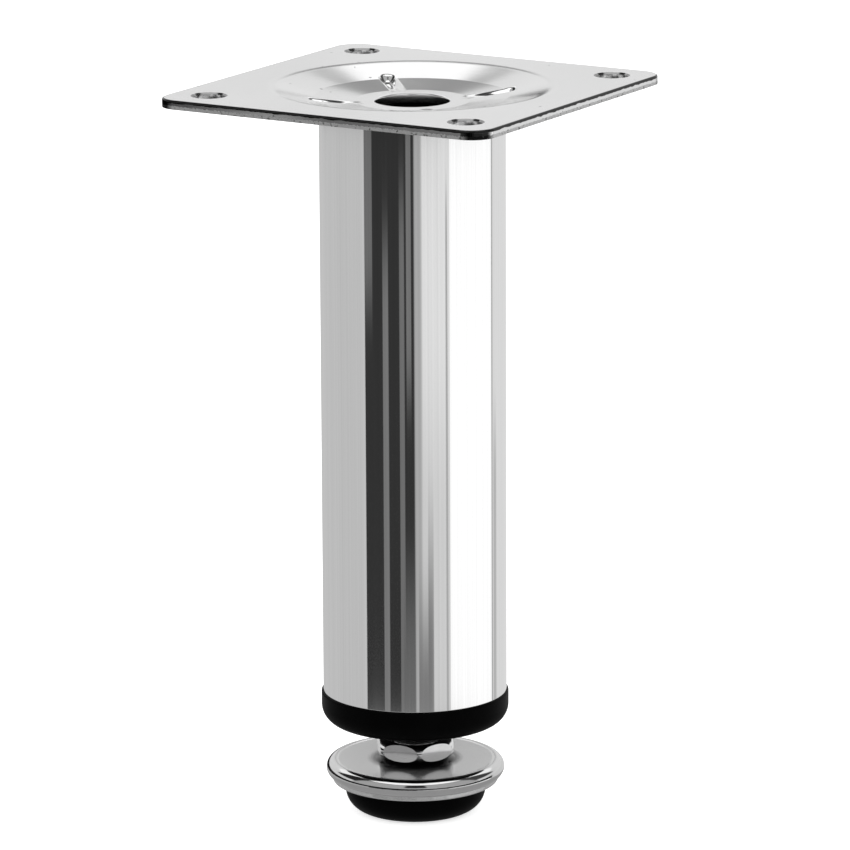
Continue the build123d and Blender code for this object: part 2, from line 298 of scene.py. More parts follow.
def build_piece(name, patches):
    """One closed mesh object from grids of points, as (points, wrap_rows, wrap_columns).
    Points that meet are merged, which also closes seams and poles, and faces turn outwards."""
    points, faces, count = [], [], 0
    for grid, wrap_rows, wrap_columns in patches:
        rows, columns = grid.shape[:2]
        faces.append(cell_corners(rows, columns, wrap_rows, wrap_columns) + count)
        points.append(grid.reshape(-1, 3))
        count += rows * columns
    points, faces = np.concatenate(points), np.concatenate(faces)
    mesh = bpy.data.meshes.new(name)
    mesh.vertices.add(len(points))
    mesh.vertices.foreach_set("co", points.astype(np.float32).ravel())
    mesh.loops.add(faces.size)
    mesh.loops.foreach_set("vertex_index", faces.astype(np.int32).ravel())
    mesh.polygons.add(len(faces))
    mesh.polygons.foreach_set("loop_start", np.arange(0, faces.size, 4, dtype=np.int32))
    mesh.update(calc_edges=True)
    shell = bmesh.new()
    shell.from_mesh(mesh)
    bmesh.ops.remove_doubles(shell, verts=shell.verts, dist=MERGE_DISTANCE)
    bmesh.ops.dissolve_degenerate(shell, edges=shell.edges, dist=MERGE_DISTANCE)
    bmesh.ops.recalc_face_normals(shell, faces=shell.faces)
    shell.to_mesh(mesh)
    shell.free()
    mesh.polygons.foreach_set("use_smooth", np.ones(len(mesh.polygons), bool))
    mesh.set_sharp_from_angle(angle=SHARP_EDGE)
    piece = bpy.data.objects.new(name, mesh)
    bpy.context.scene.collection.objects.link(piece)
    return piece


def build_turned(name, section, columns, closed=True):
    """One turned piece, from a closed section or from one with both ends on the axis."""
    return build_piece(name, [(turned(section, even_turn(columns)), closed, True)])


def dress(piece, material, body, slot, *nodes):
    """Gives a new piece its finish, sets it on the body it rides on, and hides the CAD parts it
    stands for.
    """
    piece.data.materials.clear()
    piece.data.materials.append(material)
    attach(piece, body)
    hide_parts(*nodes)


# Node helpers


def feed(tree, source, target):
    """Links a socket to an input, or sets the input to a plain value."""
    if isinstance(source, bpy.types.NodeSocket):
        tree.links.new(source, target)
    else:
        target.default_value = source


def fed(shader, label):
    """The socket that feeds a shader's input."""
    return shader.inputs[label].links[0].from_socket


def new_group(name, outputs, **inputs):
    """An empty shader node group. Its inputs are numbers with their defaults, or a vector
    where the default is None; its outputs are numbers."""
    group = bpy.data.node_groups.new(name, "ShaderNodeTree")
    for label, default in inputs.items():
        kind = "NodeSocketVector" if default is None else "NodeSocketFloat"
        socket = group.interface.new_socket(
            name=label.replace("_", " "), in_out="INPUT", socket_type=kind
        )
        if default is not None:
            socket.default_value = default
    for label in outputs:
        group.interface.new_socket(name=label, in_out="OUTPUT", socket_type="NodeSocketFloat")
    source = group.nodes.new("NodeGroupInput")
    target = group.nodes.new("NodeGroupOutput")
    return group, source.outputs, target.inputs


def place_group(tree, name, maker, **values):
    """Puts a node group, made on first use, into a tree and feeds its named inputs."""
    node = tree.nodes.new("ShaderNodeGroup")
    node.node_tree = bpy.data.node_groups.get(name) or maker(name)
    for label, value in values.items():
        feed(tree, value, node.inputs[label.replace("_", " ")])
    return node.outputs


def math_node(tree, operation, *values):
    """One Math node, fed by sockets or plain numbers."""
    node = tree.nodes.new("ShaderNodeMath")
    node.operation = operation
    for socket, value in zip(node.inputs, values):
        feed(tree, value, socket)
    return node.outputs[0]


def times(tree, one, other):
    """The product of two values."""
    return math_node(tree, "MULTIPLY", one, other)


def less(tree, one, other):
    """One value less another."""
    return math_node(tree, "SUBTRACT", one, other)


def times_plus(tree, one, factor, other):
    """One value times a factor plus another."""
    return math_node(tree, "MULTIPLY_ADD", one, factor, other)


def mix_value(tree, mask, base, other):
    """A value that goes from the base to the other one by a mask."""
    return times_plus(tree, less(tree, other, base), mask, base)


def mix_colour(tree, mask, *colours):
    """A colour that goes from one to the other by a mask. A plain number is a grey."""
    mix = tree.nodes.new("ShaderNodeMix")
    mix.data_type = "RGBA"
    feed(tree, mask, mix.inputs["Factor"])
    for socket, colour in zip(mix.inputs[6:8], colours):
        if isinstance(colour, float):
            colour = (colour,) * 3
        if not isinstance(colour, bpy.types.NodeSocket):
            colour = (*colour, 1.0)
        feed(tree, colour, socket)
    return mix.outputs[2]


def ramp_between(tree, value, low, high):
    """0 below low, 1 above high, and a smooth rise between them."""
    node = tree.nodes.new("ShaderNodeMapRange")
    node.interpolation_type = "SMOOTHSTEP"
    for socket, source in zip(node.inputs[:3], (value, low, high)):
        feed(tree, source, socket)
    return node.outputs[0]


def ramp_before(tree, value, edge, distances):
    """0 until the first distance short of an edge, and 1 from the second one on."""
    return ramp_between(tree, value, edge - distances[0], edge - distances[1])


def noise(tree, vector, scale, detail):
    """A Noise Texture's value at a vector."""
    node = tree.nodes.new("ShaderNodeTexNoise")
    for label, source in (("Vector", vector), ("Scale", scale), ("Detail", detail)):
        feed(tree, source, node.inputs[label])
    return node.outputs["Fac"]


def object_vector(tree, stretch=(1.0, 1.0, 1.0)):
    """Object coordinates, stretched by a factor along each axis."""
    coordinates = tree.nodes.new("ShaderNodeTexCoord")
    mapping = tree.nodes.new("ShaderNodeMapping")
    mapping.inputs["Scale"].default_value = stretch
    feed(tree, coordinates.outputs["Object"], mapping.inputs["Vector"])
    return mapping.outputs["Vector"]


def split(tree, vector):
    """The X, Y and Z of a vector."""
    axes = tree.nodes.new("ShaderNodeSeparateXYZ")
    feed(tree, vector, axes.inputs[0])
    return axes.outputs


def reach_from(tree, vector, square):
    """The absolute position less a square's half side in X and Y, as a vector: where both
    are positive, a point lies beyond one of the square's corners."""
    for operation, other in (("ABSOLUTE", None), ("SUBTRACT", (square, square, 0.0))):
        node = tree.nodes.new("ShaderNodeVectorMath")
        node.operation = operation
        feed(tree, vector, node.inputs[0])
        if other:
            node.inputs[1].default_value = other
        vector = node.outputs[0]
    return vector


def plan_length(tree, vector, clip=False):
    """The plan length of a vector, with negative parts counted as none where clip is set."""
    x, y = split(tree, vector)[:2]
    if clip:
        x, y = math_node(tree, "MAXIMUM", x, 0.0), math_node(tree, "MAXIMUM", y, 0.0)
    return math_node(tree, "SQRT", times_plus(tree, x, x, times(tree, y, y)))


# Finishes

TONE_RAMP = (0.3, 0.7)


def polish_group(name):
    """Marks of polishing under the plating: fine streaks and slow waves as one height, and
    faint cloudy smears as a roughness."""
    group, given, result = new_group(
        name, ("Height", "Roughness"),
        Vector=None, Streaks=900.0, Waves=60.0, Wave_share=0.6, Roughness=0.04, Smear=0.03,
    )
    streaks = noise(group, given["Vector"], given["Streaks"], 3.0)
    waves = noise(group, given["Vector"], given["Waves"], 1.0)
    feed(group, mix_value(group, given["Wave share"], streaks, waves), result["Height"])
    clouds = ramp_between(group, noise(group, given["Vector"], 140.0, 4.0), 0.45, 0.75)
    rough = times_plus(group, clouds, given["Smear"], given["Roughness"])
    feed(group, rough, result["Roughness"])
    return group


def grain_group(name):
    """Moulded or plated grain: small cells as a height, and a slow change of tone."""
    group, given, result = new_group(
        name, ("Height", "Roughness", "Tone"),
        Vector=None, Grain=4000.0, Roughness=0.4, Spread=0.08,
    )
    feed(group, noise(group, given["Vector"], given["Grain"], 2.0), result["Height"])
    slow = noise(group, given["Vector"], 220.0, 3.0)
    rough = times_plus(group, less(group, slow, 0.5), given["Spread"], given["Roughness"])
    feed(group, rough, result["Roughness"])
    feed(group, slow, result["Tone"])
    return group


def new_material(name):
    """A material with one Principled shader, and its node tree."""
    material = bpy.data.materials.new(name)
    material.use_nodes = True
    return material, material.node_tree, material.node_tree.nodes["Principled BSDF"]


def shaded(colour, factor):
    """A colour times a factor, capped at 1."""
    return tuple(min(1.0, channel * factor) for channel in colour)


def finish_with(tree, shader, marks, tone, dark, light, depth):
    """Feeds a group's roughness, its height as a bump, and a colour that slides between two
    as a tone goes up its ramp, into the shader."""
    colour = mix_colour(tree, ramp_between(tree, tone, *TONE_RAMP), dark, light)
    feed(tree, colour, shader.inputs["Base Color"])
    feed(tree, marks["Roughness"], shader.inputs["Roughness"])
    bump = tree.nodes.new("ShaderNodeBump")
    bump.inputs["Distance"].default_value = depth
    feed(tree, marks["Height"], bump.inputs["Height"])
    feed(tree, bump.outputs["Normal"], shader.inputs["Normal"])


def chrome(name, depth, streaks, waves, wave_share, stretch=1.0, extra_rough=0.0, tone=1.0):
    """Bright chrome plating over polished steel, its streaks drawn out along the height."""
    colours = bpy.context.scene.leg_finish
    material, tree, shader = new_material(name)
    marks = place_group(
        tree, "Polished plating", polish_group,
        Vector=object_vector(tree, (1.0, 1.0, stretch)), Streaks=streaks, Waves=waves,
        Wave_share=wave_share, Roughness=colours.chrome_gloss + extra_rough, Smear=0.02,
    )
    base = shaded(colours.chrome, tone)
    dark, light = shaded(base, 0.97), shaded(base, 1.02)
    finish_with(tree, shader, marks, marks["Height"], dark, light, depth)
    shader.inputs["Metallic"].default_value = 1.0
    return material, tree, shader


def grained(name, grain, spread, roughness, dark, light, depth):
    """A finish with moulded or plated grain and a slow change of tone."""
    material, tree, shader = new_material(name)
    marks = place_group(
        tree, "Fine grain", grain_group,
        Vector=object_vector(tree), Grain=grain, Roughness=roughness, Spread=spread,
    )
    finish_with(tree, shader, marks, marks["Tone"], dark, light, depth)
    return material, shader


def black_plastic(name, grain, depth):
    """Black moulded plastic with a fine satin grain."""
    colours = bpy.context.scene.leg_finish
    light = shaded(colours.plastic, 1.6)
    material, shader = grained(
        name, grain, 0.1, colours.plastic_gloss, colours.plastic, light, depth
    )
    shader.inputs["Specular IOR Level"].default_value = 0.03
    return material


def zinc_steel(name):
    """Zinc plated steel with a dull, slightly cloudy surface."""
    colours = bpy.context.scene.leg_finish
    dark, light = shaded(colours.zinc, 0.8), shaded(colours.zinc, 1.1)
    material, shader = grained(name, 2500.0, 0.25, colours.zinc_gloss, dark, light, 0.004 * MM)
    shader.inputs["Metallic"].default_value = 1.0
    return material


# Ramps along the plate's edge, as distances from the outline or down from the sheet's top.
SIDE_RAMP = (0.30 * MM, 0.22 * MM)
RIM_RAMP = (0.34 * MM, 0.20 * MM)
MOUTH_RAMP = (0.36 * MM, 0.28 * MM)
# The next two shape the painted dark reflection along the top of the edge.
EDGE_REFLECTION_RAMP = (0.20 * MM, 0.12 * MM)
EDGE_REFLECTION_WANDER = 0.6 * MM
BREAK_DEPTH = 1.15 * MM
BREAK_WANDER = 0.5 * MM
BREAK_FADE = 0.08 * MM
CORNER_FADE = 1.6 * MM
MOUTH_REACH = (0.8, 1.1)
# How dark the painted shade in the holes' mouths is, as a share.
MOUTH_SHADE_SHARE = 0.7
BURNISHED_ROUGHNESS = 0.03
BROKEN_ROUGHNESS = 0.5
# The second noise scale is that of the painted dark reflection along the edge's top.
RAGGED_SCALE, EDGE_REFLECTION_SCALE, PIT_SCALE, DOT_SCALE = 2600.0, 500.0, 1500.0, 1000.0
PIT_RAMP, DOT_RAMP = (0.55, 0.70), (0.85, 0.87)
# The corner tone is a painted dark reflection, and the line tone is a painted dark reflection
# along the edge's top and painted shade in the holes' mouths.
BROKEN_TONE, CORNER_REFLECTION_TONE, PAINTED_LINE_TONE, PIT_TONE, DOT_TONE = 0.85, 0.02, 0.045, 0.25, 0.30

# The disc's ring of painted shade round the collar, from and to a radius, and its bright rim,
# inside the edge.
COLLAR_SHADE = (6.1 * MM, 8.2 * MM)
COLLAR_SHADE_TONE = 0.01
BRIGHT_RIM = (1.5 * MM, 0.9 * MM)
RIM_GLOSS = -0.09
DULL_METALLIC = 0.85


def plate_chrome(name):
    """The plate's plating: satin bright on the flats, mirror bright on the burnished upper
    part of the sheared edge, dull and pitted where the sheet broke, with a painted dark
    reflection along the edge's top and round the corners, and painted shade in the holes'
    mouths."""
    sizes = bpy.context.scene.leg_plate
    material, tree, shader = chrome(name, 0.0006 * MM, 700.0, 45.0, 0.8, extra_rough=0.10)
    place, drawn = object_vector(tree), object_vector(tree, (1.0, 1.0, 0.25))
    height, top = split(tree, place)["Z"], PLATE_HIGH.z
    past_corner = reach_from(tree, place, sizes.side / 2 - sizes.corner)
    outward = plan_length(tree, past_corner, clip=True)
    side = ramp_before(tree, outward, sizes.corner, SIDE_RAMP)
    rim = ramp_before(tree, outward, sizes.corner, RIM_RAMP)
    ragged = noise(tree, drawn, RAGGED_SCALE, 3.0)
    fallen = less(tree, times_plus(tree, ragged, BREAK_WANDER, top - BREAK_DEPTH), height)
    broken = times(tree, side, ramp_between(tree, fallen, 0.0, BREAK_FADE))
    pits = times(tree, broken, ramp_between(tree, noise(tree, place, PIT_SCALE, 2.0), *PIT_RAMP))
    # Painted shade in the mouths of the screw holes, down from the sheet's top.
    near_hole = plan_length(tree, reach_from(tree, place, sizes.hole_spacing / 2))
    beyond = [sizes.hole_radius + sizes.hole_chamfer * part for part in MOUTH_REACH]
    mouth = less(tree, 1.0, ramp_between(tree, near_hole, *beyond))
    mouth = times(tree, mouth, ramp_before(tree, height, top, MOUTH_RAMP))
    # Painted dark reflection along the top of the edge, with a wandering lower border.
    raised = times_plus(tree, noise(tree, drawn, EDGE_REFLECTION_SCALE, 2.0), EDGE_REFLECTION_WANDER, height)
    edge_dark_reflection = times(tree, rim, ramp_before(tree, raised, top, EDGE_REFLECTION_RAMP))
    line = math_node(tree, "MAXIMUM", edge_dark_reflection, times(tree, mouth, MOUTH_SHADE_SHARE))
    # Painted dark reflection round the plate's four corners, on the edge.
    past = split(tree, past_corner)
    inner = math_node(tree, "MINIMUM", past["X"], past["Y"])
    bend = times(tree, side, ramp_between(tree, inner, 0.0, CORNER_FADE))
    dots = ramp_between(tree, noise(tree, place, DOT_SCALE, 0.0), *DOT_RAMP)
    rough = mix_value(tree, side, fed(shader, "Roughness"), BURNISHED_ROUGHNESS)
    feed(tree, mix_value(tree, broken, rough, BROKEN_ROUGHNESS), shader.inputs["Roughness"])
    colour = fed(shader, "Base Color")
    for mask, grey in (
        (broken, BROKEN_TONE), (bend, CORNER_REFLECTION_TONE), (line, PAINTED_LINE_TONE), (pits, PIT_TONE),
        (dots, DOT_TONE),
    ):
        colour = mix_colour(tree, mask, colour, grey)
    feed(tree, colour, shader.inputs["Base Color"])
    return material


def disc_chrome(name):
    """The disc's plating: duller than the tube's on top, bright round the rim, and darkened
    round the collar with painted shade, where the collar meets the disc."""
    material, tree, shader = chrome(
        name, 0.0012 * MM, 1200.0, 150.0, 0.7, extra_rough=0.14, tone=0.8
    )
    radius = plan_length(tree, object_vector(tree))
    # Painted shade: the disc goes dark near the collar, where collar and disc meet.
    painted_shade = less(tree, 1.0, ramp_between(tree, radius, *COLLAR_SHADE))
    rim = ramp_before(tree, radius, DISC_HIGH.x, BRIGHT_RIM)
    rough = times_plus(tree, rim, RIM_GLOSS, fed(shader, "Roughness"))
    feed(tree, rough, shader.inputs["Roughness"])
    feed(tree, mix_value(tree, rim, DULL_METALLIC, 1.0), shader.inputs["Metallic"])
    colour = mix_colour(tree, painted_shade, fed(shader, "Base Color"), COLLAR_SHADE_TONE)
    feed(tree, colour, shader.inputs["Base Color"])
    return material


# Mounting plate


EIGHTH = math.radians(45)
COARSE_ANGLE, FINE_ANGLE, DENSE_REACH = np.radians([1.5, 0.3, 9.0])
WINDOW_REACH = math.radians(7.5)
DISH_START = 1.0 * MM
DISH_BENDS = (3.0 * MM, 3.0 * MM, 8.0 * MM)
EVEN_START, EVEN_STEP, NEAR_REPEAT = 0.8 * MM, 0.45 * MM, 0.02 * MM
BEAD_END_REACH, BEAD_END_STEP = 1.25 * MM, 0.12 * MM
BORDER_SHARES = np.array([0.0, 0.1, 0.2, 0.35, 0.5, 0.65, 0.78, 0.9, 0.99, 1.0])
BORDER_WINDOW = (1, 6)
RING_SHARES = np.array([0.0, 0.4, 0.75, 0.94, 1.0])


def square_reach(angles, half_side, corner):
    """Distance from the centre to a square with round corners, along angles from 0 to 90
    degrees: the nearer straight side, or the corner's arc where a ray meets it."""
    cosine, sine = np.cos(angles), np.sin(angles)
    straight = half_side / np.maximum(cosine, sine)
    middle = half_side - corner
    along = middle * (cosine + sine)
    inside = np.maximum(along**2 - 2 * middle**2 + corner**2, 0.0)
    round_part = along + np.sqrt(inside)
    on_corner = np.minimum(cosine, sine) * straight > middle
    return np.where(on_corner, round_part, straight)


def smooth_step(value):
    """0 to 1 with flat ends: 3 t squared less 2 t cubed, with t held between 0 and 1."""
    held = np.clip(value, 0.0, 1.0)
    return held * held * (3 - 2 * held)


def bead_distance(sizes, radius, angles):
    """Distance of each grid point from a bead's centre line at 45 degrees."""
    along = radius * np.cos(angles - EIGHTH)
    across = radius * np.sin(angles - EIGHTH)
    beyond = np.maximum(along - sizes.bead_outer, sizes.bead_inner - along)
    return np.hypot(np.maximum(beyond, 0.0), across)


def dish_section(sizes, level):
    """The dish's section from the middle hole to the flat sheet, at a level."""
    floor = level - sizes.dish_depth
    corners = [
        (sizes.centre_radius - DISH_START, floor),
        (sizes.dish_floor, floor),
        (sizes.dish_step, level - sizes.dish_step_depth),
        (sizes.dish_lip, level),
        (sizes.dished, level),
    ]
    return rounded_line(corners, DISH_BENDS)


def plate_surface(sizes, angles, radii, level, sink, edge):
    """A quarter of the dished sheet on a polar grid: the height of the dish's section at each
    radius, lowered to the dish floor less the sink, by a smooth step that is halfway at an
    edge's distance from a bead's centre line."""
    section = dish_section(sizes, level)
    radius, angle = np.meshgrid(radii, angles, indexing="ij")
    height = np.interp(radius, section[:, 0], section[:, 1])
    distance = bead_distance(sizes, radius, angle)
    floor = level - sizes.dish_depth - sink
    inside = 1 - smooth_step((distance - edge) / sizes.bead_slope + 0.5)
    return polar(radius, angle, height + inside * np.minimum(floor - height, 0.0))


def ring_about_hole(sizes, window, hole_radius):
    """Rings of points from a window's edge, a closed loop, in to a round hole: each point
    slides from the loop to the hole's circle along its own ray from the hole's centre."""
    centre = sizes.hole_spacing / 2
    offset = window[:, :2] - centre
    direction = offset / np.linalg.norm(offset, axis=1)[:, None]
    rings = RING_SHARES[:, None, None]
    plan = centre + (1 - rings) * offset + rings * direction * hole_radius
    level = np.full((*plan.shape[:2], 1), window[0, 2])
    return np.concatenate([plan, level], axis=-1), direction


def window_loop(grid, rows, columns):
    """The closed loop of grid points round a window of rows and columns."""
    (top, bottom), (left, right) = rows, columns
    sides = [
        grid[top, left:right],
        grid[top:bottom, right],
        grid[bottom, right:left:-1],
        grid[bottom:top:-1, left],
    ]
    return np.concatenate(sides)


def close_loop(rings):
    """Rings of points with the first point of each repeated at its end."""
    return np.concatenate([rings, rings[:, :1]], axis=1)


def clear_steps(start, *values):
    """Sorted radii from a start up, without any that nearly repeat the one before."""
    ordered = np.concatenate([[start], *values])
    ordered = np.sort(ordered[ordered >= start])
    keep = np.concatenate([[True], np.diff(ordered) > NEAR_REPEAT])
    keep[-1] = True
    return ordered[keep]


def border_patches(sizes, angles, top, under):
    """The flat border above and below, each ray running from the dished round to the outline,
    the border's rounded edge and side, and the screw hole."""
    half, edge = sizes.side / 2, sizes.edge
    rows = BORDER_WINDOW
    columns = [int(np.argmin(abs(angles - EIGHTH + way * WINDOW_REACH))) for way in (1, -1)]
    patches, rings = [], []
    mouth = sizes.hole_radius + sizes.hole_chamfer
    for inset, hole, level in ((edge, mouth, top), (0.0, sizes.hole_radius, under)):
        outline = square_reach(angles, half - inset, sizes.corner - inset)
        radius = sizes.dished + BORDER_SHARES[:, None] * (outline - sizes.dished)
        grid = polar(radius, angles, level)
        patches += [
            grid[: rows[0] + 1],
            grid[rows[1] :],
            grid[rows[0] : rows[1] + 1, : columns[0] + 1],
            grid[rows[0] : rows[1] + 1, columns[1] :],
        ]
        ring, direction = ring_about_hole(sizes, window_loop(grid, rows, columns), hole)
        patches.append(close_loop(ring))
        rings.append(ring[-1])
        if level == top:
            plan = sizes.hole_spacing / 2 + direction * sizes.hole_radius
            drop = np.full((len(plan), 1), 1.0)
            rings.append(np.hstack([plan, drop * (top - sizes.hole_chamfer)]))
            rings.append(np.hstack([plan, drop * under]))
    patches += [close_loop(np.stack(rings[:3])), close_loop(np.stack(rings[2:]))]
    bends = np.radians(np.linspace(0, 90, BEND_STEPS))
    drops = [(edge * (1 - math.sin(bend)), edge * (1 - math.cos(bend))) for bend in bends]
    side = [
        polar(square_reach(angles, half - inset, sizes.corner - inset), angles, top - drop)
        for inset, drop in [*drops, (0.0, edge + HOLD), (0.0, top - under)]
    ]
    return [*patches, np.stack(side)]


def quarter_plate():
    """The patches of one quarter of the plate, from +X to +Y, with its bead and its hole."""
    sizes = bpy.context.scene.leg_plate
    top, under = PLATE_HIGH.z, PLATE_HIGH.z - sizes.sheet
    outside = np.arange(0, round((EIGHTH - DENSE_REACH) / COARSE_ANGLE) + 1) * COARSE_ANGLE
    inside = np.arange(0, round(2 * DENSE_REACH / FINE_ANGLE)) * FINE_ANGLE
    low, high = EIGHTH - DENSE_REACH, EIGHTH + DENSE_REACH
    angles = np.concatenate([outside[:-1], low + inside, high + outside])
    bend = dish_section(sizes, top)[1:-1, 0]
    even = np.arange(sizes.centre_radius + EVEN_START, sizes.dished, EVEN_STEP)
    near = np.arange(-BEAD_END_REACH, BEAD_END_REACH, BEAD_END_STEP)
    inner_end = sizes.bead_inner - sizes.bead_width / 2
    outer_end = sizes.bead_outer + sizes.bead_width / 2
    ends = np.concatenate([near + inner_end, near + outer_end])
    bore, rounding, wall = sizes.centre_radius, sizes.centre_rounding, sizes.bead_wall
    start, edge = bore + rounding, sizes.bead_width / 2
    radii = clear_steps(start, [sizes.dished], bend, even, ends)
    upper = plate_surface(sizes, angles, radii, top, sizes.bead_sink, edge)
    radii = clear_steps(bore, [sizes.dished], bend, even, ends - wall, ends + wall)
    lower = plate_surface(sizes, angles, radii, under, 0.0, edge + wall)
    rim = arc((start, top - sizes.dish_depth - rounding), rounding, 180, 90, BEND_STEPS)
    hole = turned(np.concatenate([[(bore, under - sizes.dish_depth)], rim]), angles)
    return [upper, lower, hole, *border_patches(sizes, angles, top, under)]


def quarter_turns(points):
    """The same points turned by 0, 90, 180 and 270 degrees about Z, by exact swaps."""
    x, y, z = np.moveaxis(points, -1, 0)
    turns = (x, y, z), (-y, x, z), (-x, -y, z), (y, -x, z)
    return [np.stack(axes, axis=-1) for axes in turns]


class LEG_OT_mounting_plate(Operator):
    """Build the pressed mounting plate with its dish, weld beads and holes"""

    bl_idname = "furniture_leg.mounting_plate"
    bl_label = "Mounting plate"

    def execute(self, context):
        patches = [
            (copy, False, False) for patch in quarter_plate() for copy in quarter_turns(patch)
        ]
        plate = build_piece("mounting_plate_pressing", patches)
        dress(plate, plate_chrome("Plate chrome"), "leg", "plate_steel", "mounting_plate")
        return {"FINISHED"}


# Tube


class LEG_OT_leg_tube(Operator):
    """Build the chromed tube with its softened ends"""

    bl_idname = "furniture_leg.leg_tube"
    bl_label = "Tube"

    def execute(self, context):
        sizes = context.scene.leg_tube
        outer, inner = sizes.radius, sizes.radius - sizes.wall
        low, high = TUBE_LOW.z, TUBE_HIGH.z
        middle = (outer, (low + high) / 2)
        corners = [middle, (outer, high), (inner, high), (inner, low), (outer, low), middle]
        section = rounded_line(corners, [sizes.end_rounding] * 4, steps=6)
        tube = build_turned("leg_tube_chromed", section[:-1], TURN_STEPS)
        finish = chrome("Tube chrome", 0.0012 * MM, 700.0, 160.0, 0.75, stretch=0.035)[0]
        dress(tube, finish, "leg", "tube_chrome", "leg_tube")
        return {"FINISHED"}


# End plug and nut

BAR_STEPS = 24
BAR_POWER = 0.35
RIB_FIT = 0.05 * MM
RIB_STOP = 2.3 * MM
WEB_DROP = 1.0 * MM


def upright_bar(inner, outer, width, low, high, angle):
    """A radial bar with round ends: a stadium of points in plan, carried from low to high,
    with both ends drawn in to the middle line so that the bar is closed."""
    cosine, sine = np.cos(even_turn(BAR_STEPS)), np.sin(even_turn(BAR_STEPS))
    along = (outer - inner) / 2 * np.sign(cosine) * np.abs(cosine) ** BAR_POWER
    across = width / 2 * np.sign(sine) * np.abs(sine) ** BAR_POWER
    grow = np.array([0.0, 1.0, 1.0, 0.0])[:, None]
    heights = np.array([low, low, high, high])[:, None]
    x, y = (inner + outer) / 2 + grow * along, grow * across
    cosine, sine = math.cos(angle), math.sin(angle)
    axes = np.broadcast_arrays(x * cosine - y * sine, x * sine + y * cosine, heights)
    return np.stack(axes, axis=-1)


class LEG_OT_end_plug(Operator):
    """Build the black end plug: lip, ribbed skirt, floor, boss and webs"""

    bl_idname = "furniture_leg.end_plug"
    bl_label = "End plug"

    def execute(self, context):
        sizes, tube = context.scene.leg_plug, context.scene.leg_tube
        bottom, shoulder, top = PLUG_LOW.z, TUBE_LOW.z, PLUG_HIGH.z
        lip, bore, chamfer = PLUG_HIGH.x, sizes.bore_radius, sizes.bore_chamfer
        skirt = tube.radius - tube.wall - sizes.skirt_gap
        skirt_inner = skirt - sizes.skirt_wall
        floor_top = bottom + sizes.floor
        nut, nut_top = (NUT_HIGH.x - NUT_LOW.x) / 2, NUT_HIGH.z
        boss, boss_top = nut + sizes.boss_wall, nut_top + sizes.nut_cover
        corners = [
            (bore + chamfer, bottom), (lip, bottom), (lip, shoulder), (skirt, shoulder),
            (skirt, top - sizes.lead_in), (skirt - sizes.lead_in / 2, top),
            (skirt_inner, top), (skirt_inner, floor_top), (boss, floor_top),
            (boss, boss_top), (bore, boss_top), (bore, nut_top), (nut, nut_top),
            (nut, floor_top), (bore, floor_top), (bore, bottom + chamfer),
            (bore + chamfer, bottom),
        ]
        roundings = [sizes.lip_rounding, sizes.top_rounding] + [0] * (len(corners) - 4)
        section = rounded_line(corners, roundings, steps=14)
        patches = [(turned(section[:-1], even_turn(PLASTIC_STEPS)), True, True)]
        root = skirt - sizes.skirt_wall / 2
        rib = root, tube.radius - tube.wall - RIB_FIT, sizes.rib_width, shoulder, top - RIB_STOP
        web = boss - sizes.boss_wall / 2, root, sizes.web_width, floor_top, boss_top - WEB_DROP
        for count, first, bar in ((sizes.rib_count, 0.0, rib), (sizes.web_count, 0.5, web)):
            for i in range(count):
                points = upright_bar(*bar, (i + first) * FULL_TURN / count)
                patches.append((points, False, True))
        plug = build_piece("end_plug_moulding", patches)
        finish = black_plastic("Plug plastic", 3000.0, 0.0035 * MM)
        dress(plug, finish, "leg", "plug_plastic", "end_plug")
        return {"FINISHED"}


class LEG_OT_captive_nut(Operator):
    """Give the captive nut its zinc finish"""

    bl_idname = "furniture_leg.captive_nut"
    bl_label = "Captive nut"

    def execute(self, context):
        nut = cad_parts["captive_nut"]
        finish = zinc_steel("Nut zinc")
        if nut.material_slots:
            for slot in nut.material_slots:
                slot.material = finish
        else:
            nut.data.materials.append(finish)
        return {"FINISHED"}


# Adjusting screw


SIXTH = math.radians(60)
COLLAR_STEPS = 9
FLAT_STEPS = 27
CORNER_STEPS = 5
ROWS_PER_PITCH = 12
ROOT_FLAT, CREST_FLAT = 1 / 4, 1 / 8
HEAD_BEND, NECK_BEND = 0.4 * MM, 0.3 * MM
FLAT_RING = 0.05 * MM


def collar_angles(sizes):
    """Angles about the collar, one set for each flat: dense towards both tips of the flat's
    lens, by the sine of an even step, and a few across each round corner."""
    tip = math.acos(sizes.across_flats / 2 / sizes.collar_radius)
    flat = tip * np.sin(np.linspace(-math.pi / 2, math.pi / 2, FLAT_STEPS))
    corner = np.linspace(tip, SIXTH - tip, CORNER_STEPS)[1:-1]
    one = np.concatenate([flat, corner])
    starts = sizes.collar_turn + SIXTH / 2 + np.arange(6) * SIXTH
    return (starts[:, None] + one[None, :]).ravel(), np.tile(one, 6)


def collar_rows(sizes, angles, local, bottom):
    """The collar's side: a barrel of round section, cut by six flats. At each angle the flat
    lies at half the spanner size over the cosine; the barrel's arc runs up to where it meets
    the flat, the flat runs up to the mirrored place, and the arc goes on to the top."""
    bulge = sizes.collar_height / 2
    side_centre, middle = sizes.collar_radius - bulge, bottom + bulge
    folded = (local + SIXTH / 2) % SIXTH - SIXTH / 2
    flat_radius = sizes.across_flats / 2 / np.cos(folded)
    meet = np.arccos(np.clip((flat_radius - side_centre) / bulge, 0.0, 1.0))
    left = math.pi / 2 - meet
    steps = np.linspace(0, 1, COLLAR_STEPS)[:, None]
    below, above = steps * left - math.pi / 2, meet + steps * left
    climb = np.linspace(-1, 1, COLLAR_STEPS)[1:-1, None]
    flat = np.minimum(flat_radius, sizes.collar_radius)
    barrel_below = side_centre + bulge * np.cos(below)
    barrel_above = side_centre + bulge * np.cos(above)
    radius = np.concatenate([barrel_below, flat * np.ones_like(climb), barrel_above])
    height = np.concatenate([np.sin(below), climb * np.sin(meet), np.sin(above)])
    return polar(radius, angles, middle + bulge * height)


